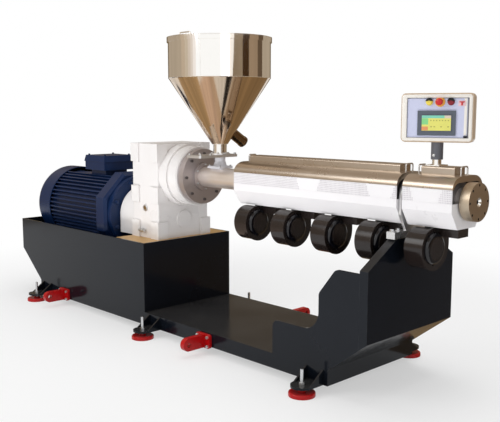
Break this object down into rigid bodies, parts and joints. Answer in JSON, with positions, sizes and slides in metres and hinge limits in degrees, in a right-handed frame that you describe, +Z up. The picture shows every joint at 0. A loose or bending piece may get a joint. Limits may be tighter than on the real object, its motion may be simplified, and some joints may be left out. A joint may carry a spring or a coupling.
{
  "type": "plastic extruder",
  "caption": "Single screw plastic extruder on a plate base: motor, gearbox, hopper with hinged lid, covered barrel with cooling blowers, round die flange and swivelling panel.",
  "frame": {"origin": "on the floor, at the middle of the machine's length and width", "axes": "+X along the machine to the die, -Y to the operator's side, +Z up"},
  "size_m": [3.758, 1.0898, 1.8925],
  "materials": {
    "base_paint": "gloss black paint on plate",
    "bed_steel": "machined plate with a warm oiled tint",
    "zinc_steel": "bright zinc plated stud and nuts",
    "red_paint": "gloss red paint",
    "motor_paint": "satin navy blue paint on cast iron",
    "white_paint": "gloss white paint",
    "barrel_steel": "turned and ground steel",
    "heater_metal": "cast aluminium shells",
    "throat_steel": "bright machined steel",
    "stainless": "mirror polished stainless sheet",
    "blower_paint": "gloss brown black enamel",
    "post_paint": "satin grey paint",
    "case_paint": "satin cream metallic paint",
    "panel_film": "pale lavender printed film, left blank",
    "bezel_plastic": "dark grey screen bezel",
    "button_plastic": "coloured push buttons"
  },
  "bodies": {
    "machine": {"near_side_plate": "base_paint", "far_side_plate": "base_paint", "deck_plate": "base_paint", "rear_end_plate": "base_paint", "box_front_plate": "base_paint", "motor_beams": "base_paint", "end_frame": "base_paint", "front_skirt": "base_paint", "foot_brackets": "base_paint", "gearbox_bed_plate": "bed_steel", "foot_studs": "zinc_steel", "foot_pads": "red_paint", "lifting_lugs": "red_paint", "motor_frame": "motor_paint", "motor_end_shield": "motor_paint", "motor_fan_cowl": "motor_paint", "motor_terminal_box": "motor_paint", "lantern_housing": "white_paint", "gearbox_housing": "white_paint", "gearbox_shaft_cover": "white_paint", "long_trough": "white_paint", "short_trough": "white_paint", "barrel_flange": "barrel_steel", "barrel_tube": "barrel_steel", "barrel_support": "barrel_steel", "die_flange": "barrel_steel", "barrel_heaters": "heater_metal", "feed_throat": "throat_steel", "gate_plate": "throat_steel", "hopper_shell": "stainless", "hopper_rim": "stainless", "hopper_drain": "stainless", "long_hood": "stainless", "short_hood": "stainless", "hood_handles": "stainless", "panel_socket": "stainless", "blower_1": "blower_paint", "blower_2": "blower_paint", "blower_3": "blower_paint", "blower_4": "blower_paint", "blower_5": "blower_paint"},
    "lid": {"hopper_lid": "stainless", "lid_handle": "stainless"},
    "panel": {"panel_post": "post_paint", "panel_case": "case_paint", "panel_face": "panel_film", "panel_screen": "bezel_plastic", "panel_buttons": "button_plastic"}
  },
  "joints": [
    {"name": "lid_hinge", "type": "hinge", "parent": "machine", "child": "lid", "pos_m": [0.065, 0.343, 1.8815], "axis": [-1, 0, 0], "range_deg": [0, 100]},
    {"name": "panel_swivel", "type": "hinge", "parent": "machine", "child": "panel", "pos_m": [1.645, 0, 1.19], "axis": [0, 0, 1], "range_deg": [-90, 90]}
  ]
}
